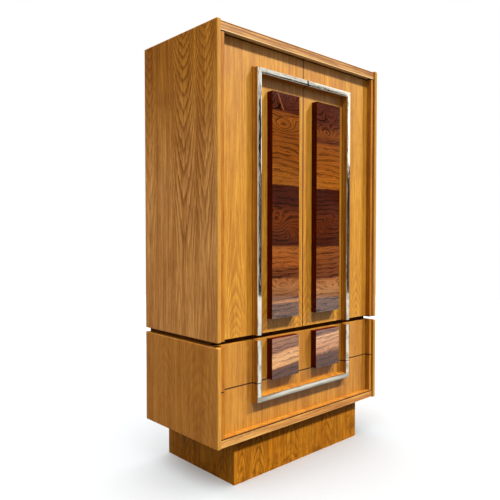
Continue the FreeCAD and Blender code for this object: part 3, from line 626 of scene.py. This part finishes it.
def low_veneer(graph):
    """The two short blocks share a piece, so the middle line tells their veneers apart."""
    left, left_height = veneer(graph, LEFT_LOW_TONES, ((-0.10, 0.486, 0.014, 0.008, 0.012),), 5.2, -0.09)
    right, right_height = veneer(graph, RIGHT_LOW_TONES, ((0.12, 0.455, 0.03, 0.012, 0.02),), 7.7, -0.05)
    is_right = graph.math("GREATER_THAN", graph.x, 0.0)
    return graph.mix(is_right, left, right), graph.add(left_height, right_height)


def dress_blocks():
    left_eyes = ((-0.152, 1.437, 0.058, 0.022, 0.062), (-0.175, 1.545, 0.030, 0.030, -0.070),
                 (-0.110, 1.540, 0.030, 0.026, 0.060), (-0.195, 1.040, 0.055, 0.034, 0.075),
                 (-0.100, 1.000, 0.030, 0.020, -0.045), (-0.150, 0.776, 0.056, 0.018, 0.048),
                 (-0.160, 0.856, 0.012, 0.016, 0.022))
    right_eyes = ((0.118, 1.428, 0.058, 0.030, 0.070), (0.150, 1.530, 0.040, 0.026, -0.065),
                  (0.140, 1.040, 0.026, 0.020, 0.055), (0.090, 1.020, 0.026, 0.020, -0.050),
                  (0.195, 1.045, 0.026, 0.020, 0.050), (0.170, 0.754, 0.060, 0.018, 0.046))
    for node, name, veneer_of in (
            ("left_door_block", "rosewood_left", lambda graph: left_veneer(graph, left_eyes)),
            ("right_door_block", "rosewood_right",
             lambda graph: veneer(graph, RIGHT_TONES, right_eyes, 3.1, -0.02)),
            ("upper_drawer_blocks", "rosewood_low", low_veneer)):
        give(node, rosewood(name, veneer_of), 1.2 * MM, 3)


# ---------------------------------------------------------------- metal

def chrome():
    """Old plated trim: a slightly crowned mirror with drawn-out ripples, lifted pits and brown tarnish. Its
    colour is painted darker grey low down and at its rims, and at the bottom length's ends and foot: painted
    reflection, with haze low down that on the bottom length runs along it."""
    graph = Graph("chrome_trim")
    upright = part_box("left_door_side_chrome")
    across_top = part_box("left_door_top_chrome")
    base_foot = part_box("lower_drawer_chrome")[0][2]
    half = (upright[1][0] - upright[0][0]) / 2              # half the strip's width
    middle = -(upright[0][0] + upright[1][0]) / 2           # from the middle line to an upright's own
    from_middle = graph.absolute(graph.x)
    # the grey of the painted reflection, where the mirror would show a darker room
    dull_reflection = linear(122, 118, 108)

    # The crown: it falls away beside each strip's middle, and faster at its rims.
    to_upright = graph.absolute(graph.minus(from_middle, middle))
    beside = graph.math("MINIMUM", to_upright, graph.absolute(graph.minus(graph.z, across_top[1][2] - half)))
    beside = graph.math("MINIMUM", beside, graph.absolute(graph.minus(graph.z, base_foot + half)))
    rim = graph.remap(beside, half - 5.0 * MM, half, 0.0, 1.0, smooth=False)
    lean = graph.math("MAXIMUM", graph.minus(graph.x, middle - half), 0.0)
    crown = graph.add(graph.times(beside, beside, -1.3), graph.times(rim, rim, -0.30 * MM),
                      graph.times(lean, -0.03))

    # The plating: tarnish, then painted reflection in darker grey, low down with the haze and at the rims,
    # and at the bottom length's ends and foot, then the pits.
    on_base = graph.math("LESS_THAN", graph.z, base_foot + 2 * half)
    shallow = graph.times(graph.y, 0.4)
    place = graph.mix(on_base, graph.vector(graph.x, shallow, graph.times(graph.z, 0.35)),
                      graph.vector(graph.times(graph.x, 0.10), shallow, graph.z))
    haze = graph.noise(place, 60.0, 4.0, 0.65)
    pits = graph.cells(graph.position, 420.0)
    sparse = graph.remap(graph.noise(graph.position, 16.0, 3.0, 0.7), 0.55, 0.68)
    pitted = graph.times(graph.remap(pits, 0.12, 0.3, 1.0, 0.0), sparse)
    tarnish = graph.times(graph.remap(graph.noise(place, 30.0, 4.0, 0.7), 0.56, 0.72), 0.55)
    colour = graph.mix(tarnish, linear(228, 227, 220), linear(124, 112, 96))
    cloud = graph.times(graph.remap(haze, 0.42, 0.60), 0.5)
    low_down = graph.remap(graph.z, 0.60, 0.74, 1.0, 0.0)
    colour = graph.mix(graph.times(low_down, graph.add(0.04, cloud, graph.times(rim, 0.6))), colour, dull_reflection)
    ends = graph.remap(from_middle, 0.4 * middle, middle, 0.0, 0.30)
    foot = graph.remap(graph.z, base_foot + 0.5 * half, base_foot + 1.3 * half, 0.35, 0.0)
    colour = graph.mix(graph.times(on_base, graph.add(ends, foot)), colour, dull_reflection)
    colour = graph.mix(pitted, colour, linear(58, 48, 40))
    joint = graph.times(graph.math("LESS_THAN", from_middle, 4.5 * MM),
                        graph.math("GREATER_THAN", graph.z, across_top[0][2]))
    colour = graph.mix(joint, colour, linear(30, 18, 16))
    shine = graph.add(0.03, graph.times(haze, 0.07), graph.times(pitted, 0.4))

    # The ripples run along each length.
    level = graph.math("GREATER_THAN", to_upright, half + MM)
    upright_place = graph.vector(graph.x, graph.y, graph.times(graph.z, 0.16))
    level_place = graph.vector(graph.times(graph.x, 0.07), graph.y, graph.z)
    level_ripple = graph.times(graph.noise(level_place, 170.0, 2.0, 0.5), 0.35)
    ripple = graph.mix(level, graph.noise(upright_place, 70.0, 2.0, 0.5), level_ripple)
    height = graph.add(crown, graph.times(ripple, 1.1 * MM), graph.times(pitted, -0.1 * MM))
    return graph.finish(colour, shine, graph.bump(height, 1.0, 1.0), Metallic=1.0)


def worn_metal(name, pale, deep, roughness):
    """Turned or stamped metal with a faint mottle, rubbed bright in places."""
    graph = Graph(name)
    mottle = graph.noise(graph.position, 180.0, 4.0, 0.65)
    brushed = graph.noise(graph.vector(graph.x, graph.times(graph.y, 0.1), graph.z), 900.0, 2.0, 0.5)
    colour = graph.mix(graph.remap(mottle, 0.35, 0.65), pale, deep)
    shine = graph.add(roughness, graph.times(brushed, 0.18))
    return graph.finish(colour, shine, graph.bump(brushed, 0.15, 0.2 * MM), Metallic=1.0)


def dress_metal():
    plated = chrome()
    for node in ("left_door_side_chrome", "right_door_side_chrome", "left_door_top_chrome",
                 "right_door_top_chrome", "upper_drawer_chrome", "lower_drawer_chrome"):
        give(node, plated, 0.7 * MM, 3)
    steel = worn_metal("hinge_steel", linear(190, 186, 178), linear(140, 134, 124), 0.28)
    for node in ("case_screws", "shelf_pins", "left_door_strike", "right_door_strike"):
        give(node, steel)
    give("hinge_plates", worn_metal("blackened_steel", linear(74, 62, 54), linear(44, 36, 32), 0.45))
    brass = worn_metal("bush_brass", linear(206, 170, 96), linear(160, 122, 58), 0.3)
    for node in ("left_door_bushes", "right_door_bushes"):
        give(node, brass)


# ---------------------------------------------------------------- plain timber, battens and catches

def drawer_timber():
    """Pale close-grained drawer sides, sealed and slightly dusty."""
    graph = Graph("drawer_timber")
    place = graph.vector(graph.times(graph.x, 0.3), graph.times(graph.y, 0.06), graph.z)
    streak = graph.noise(place, 90.0, 3.0, 0.6)
    fleck = graph.remap(graph.noise(place, 700.0, 2.0, 0.5), 0.5, 0.7)
    colour = graph.mix(graph.remap(streak, 0.3, 0.7), front(226, 192, 142), front(204, 164, 112))
    colour = graph.mix(graph.times(fleck, 0.25), colour, front(164, 120, 76))
    return graph.finish(colour, graph.add(0.5, graph.times(streak, 0.12)), graph.bump(fleck, 0.15, 0.3 * MM))


def back_board():
    """Plywood backs: rotary-cut veneer with broad soft figure."""
    graph = Graph("back_board")
    place = graph.vector(graph.x, graph.y, graph.times(graph.z, 0.25))
    swirl = graph.noise(place, 5.0, 3.0, 0.5, 0.8)
    ring = graph.math("FRACT", graph.times(swirl, 14.0))
    line = graph.times(graph.remap(ring, 0.2, 0.7), graph.remap(ring, 0.8, 1.0, 1.0, 0.0))
    fibre = graph.vector(graph.x, graph.y, graph.times(graph.z, 0.03))
    pores = graph.remap(graph.noise(fibre, 600.0, 2.0, 0.5), 0.52, 0.7)
    colour = graph.mix(graph.times(line, 0.5), front(206, 160, 108), front(172, 122, 74))
    colour = graph.mix(graph.times(pores, 0.4), colour, front(138, 92, 52))
    shine = graph.add(0.55, graph.times(swirl, 0.15))
    return graph.finish(colour, shine, graph.bump(pores, 0.2, 0.4 * MM), Specular_IOR_Level=0.3)


def dark_batten():
    """The spacer battens' brown-black stain, thinner where the grain stands up."""
    graph = Graph("dark_batten")
    fibre = graph.vector(graph.times(graph.x, 0.08), graph.times(graph.y, 0.3), graph.z)
    grain = graph.noise(fibre, 260.0, 3.0, 0.6)
    colour = graph.mix(graph.remap(grain, 0.3, 0.7), front(66, 34, 14), front(118, 74, 32))
    return graph.finish(colour, graph.add(0.5, graph.times(grain, 0.2)), graph.bump(grain, 0.2, 0.4 * MM),
                        Specular_IOR_Level=0.0)


def catch_plastic():
    """The magnetic catches' brown moulded cases."""
    graph = Graph("catch_plastic")
    speck = graph.noise(graph.position, 500.0, 3.0, 0.6)
    colour = graph.mix(speck, front(96, 62, 40), front(118, 80, 54))
    return graph.finish(colour, graph.add(0.38, graph.times(speck, 0.15)), graph.bump(speck, 0.1, 0.2 * MM))


def dress_rest():
    """The pieces that show only when something is open, or from behind."""
    for material, nodes in (
            (drawer_timber(), ("upper_drawer_sides", "upper_drawer_bottom", "upper_drawer_back",
                               "lower_drawer_sides", "lower_drawer_bottom", "lower_drawer_back",
                               "drawer_runners", "plinth_corner_blocks")),
            (back_board(), ("upper_back_panel", "lower_back_panel")),
            (dark_batten(), ("spacer_cross_battens", "spacer_side_battens")),
            (catch_plastic(), ("door_catches",))):
        for node in nodes:
            give(node, material)


# ---------------------------------------------------------------- studio and camera

CAMERA_PLACE = Vector((-1.7887, -1.8069, 0.9944))
CAMERA_TURN = 42.80         # degrees from looking along +Y, towards +X
CAMERA_DIP = 1.78           # degrees below level
CAMERA_LENS = 39.31         # millimetres, on a sensor 36 wide
FLOOR_RADIUS = 6.4
FLOOR_BOUNCE = (0.19, 0.175, 0.155, 1.0)        # the floor's colour in the light that it sends up
FLOOR_MIRRORED = (0.80, 0.80, 0.78, 1.0)        # and in the object's reflections
# The studio's suns: name, where each shines from, strength, width in degrees, and whether it lights the floor
# alone or all but the floor.
SUNS = (("key", Vector((-0.10, -1.0, 1.60)), 4.6, 5.0, "EXCLUDE"),
        ("side_key", Vector((1.24, -1.0, 1.60)), 4.9, 5.0, "EXCLUDE"),
        ("floor_wash", Vector((0.0, 0.0, 1.0)), 1.78, 100.0, "INCLUDE"))
# How bright the room is overhead, around the front, behind and to the left.
CEILING, WALLS, BACK_WALL, WINDOW = 0.87, 0.13, 0.5, 1.24
NEAR_WALL, WHITE_WALL = 0.55, 1.5         # left of the doorway and right of it, which the chrome mirrors
ROOM_TINT = (1.0, 0.95, 0.86, 1.0)


def make_camera():
    data = bpy.data.cameras.new("camera")
    data.lens = CAMERA_LENS
    data.sensor_width = 36.0
    camera = bpy.data.objects.new("camera", data)
    bpy.context.collection.objects.link(camera)
    camera.location = CAMERA_PLACE
    camera.rotation_euler = Euler((math.radians(90 - CAMERA_DIP), 0, math.radians(-CAMERA_TURN)))
    bpy.context.scene.camera = camera


def make_floor():
    """A white floor, which sends only part of its light back up at the object."""
    mesh = bpy.data.meshes.new("studio_floor")
    shape = bmesh.new()
    bmesh.ops.create_circle(shape, cap_ends=True, segments=96, radius=FLOOR_RADIUS)
    shape.to_mesh(mesh)
    shape.free()
    floor = bpy.data.objects.new("studio_floor", mesh)
    bpy.context.collection.objects.link(floor)
    graph = Graph("floor_paint")
    speckle = graph.noise(graph.position, 3.0, 2.0)
    paint = graph.mix(graph.times(speckle, 0.1), linear(239, 246, 254), linear(235, 242, 250))
    ray = graph.tree.nodes.new("ShaderNodeLightPath")
    colour = graph.mix(ray.outputs["Is Diffuse Ray"], paint, FLOOR_BOUNCE)
    colour = graph.mix(ray.outputs["Is Glossy Ray"], colour, FLOOR_MIRRORED)
    mesh.materials.append(graph.finish(colour, 0.9, Specular_IOR_Level=0.0))
    return floor


def make_world():
    """White to the camera. To the object it is a room: a bright ceiling, dim walls, a window to the left, and
    to the front right a dark doorway with white wall beside and above it."""
    world = bpy.data.worlds.new("studio")
    bpy.context.scene.world = world
    world.use_nodes = True
    sky = Nodes(world.node_tree)
    direction = sky.tree.nodes.new("ShaderNodeTexCoord").outputs["Generated"]
    x, y, up = sky.split(direction)
    turn = sky.math("DEGREES", sky.math("ARCTAN2", x, sky.times(y, -1.0)))
    up = sky.math("DEGREES", sky.math("ARCSINE", up))
    mottle = sky.noise(direction, 11.0, 3.0)
    ragged = sky.add(up, sky.times(sky.minus(mottle, 0.5), 5.0))

    def patch(room, turns, ups, soft, brightness, height=up):
        """Paint a patch of the room: turns from the front towards the right, ups above level, in degrees."""
        sides = sky.times(sky.remap(turn, turns[0] - soft, turns[0] + soft),
                          sky.remap(turn, turns[1] - soft, turns[1] + soft, 1.0, 0.0))
        ends = sky.times(sky.remap(height, ups[0] - soft, ups[0] + soft),
                         sky.remap(height, ups[1] - soft, ups[1] + soft, 1.0, 0.0))
        return sky.add(room, sky.times(sky.times(sides, ends), sky.minus(brightness, room)))

    walls = sky.remap(sky.absolute(turn), 110.0, 150.0, WALLS, BACK_WALL)
    room = sky.remap(up, 22.0, 42.0, walls, CEILING)
    room = patch(room, (-125.0, -48.0), (-12.0, 40.0), 6.0, WINDOW)
    room = patch(room, (16.0, 40.0), (-12.0, 30.0), 1.5, NEAR_WALL)
    lit = sky.remap(mottle, 0.34, 0.48, 0.25, 1.12)
    dim = sky.remap(mottle, 0.45, 0.62, 0.02, 0.14)
    room = patch(room, (38.0, 52.4), (14.0, 30.0), 1.0, lit, ragged)
    room = patch(room, (52.4, 80.0), (6.5, 36.0), 0.3, WHITE_WALL)
    room = patch(room, (40.0, 52.4), (-12.0, 14.0), 0.6, dim)
    room = patch(room, (52.0, 80.0), (-12.0, 6.5), 0.3, dim)
    seen = sky.tree.nodes.new("ShaderNodeLightPath").outputs["Is Camera Ray"]
    background = sky.tree.nodes["Background"]
    sky.feed(background.inputs["Color"], sky.mix(seen, ROOM_TINT, (1.0, 1.0, 1.0, 1.0)))
    sky.feed(background.inputs["Strength"], sky.add(sky.times(room, sky.minus(1.0, seen)), seen))


def make_suns(floor):
    """Each sun's receivers are the floor alone, or everything but the floor."""
    for name, source, strength, width, rule in SUNS:
        data = bpy.data.lights.new(name, "SUN")
        data.energy = strength
        data.angle = math.radians(width)
        sun = bpy.data.objects.new(name, data)
        bpy.context.collection.objects.link(sun)
        sun.rotation_euler = source.to_track_quat("Z", "Y").to_euler()
        linked = bpy.data.collections.new(name + "_links")
        linked.objects.link(floor)
        linked.collection_objects[0].light_linking.link_state = rule
        sun.light_linking.receiver_collection = linked


dress_case()
dress_fronts()
dress_plinth()
dress_blocks()
dress_metal()
dress_rest()
bpy.context.scene.view_settings.view_transform = "Standard"
make_camera()
make_world()
make_suns(make_floor())
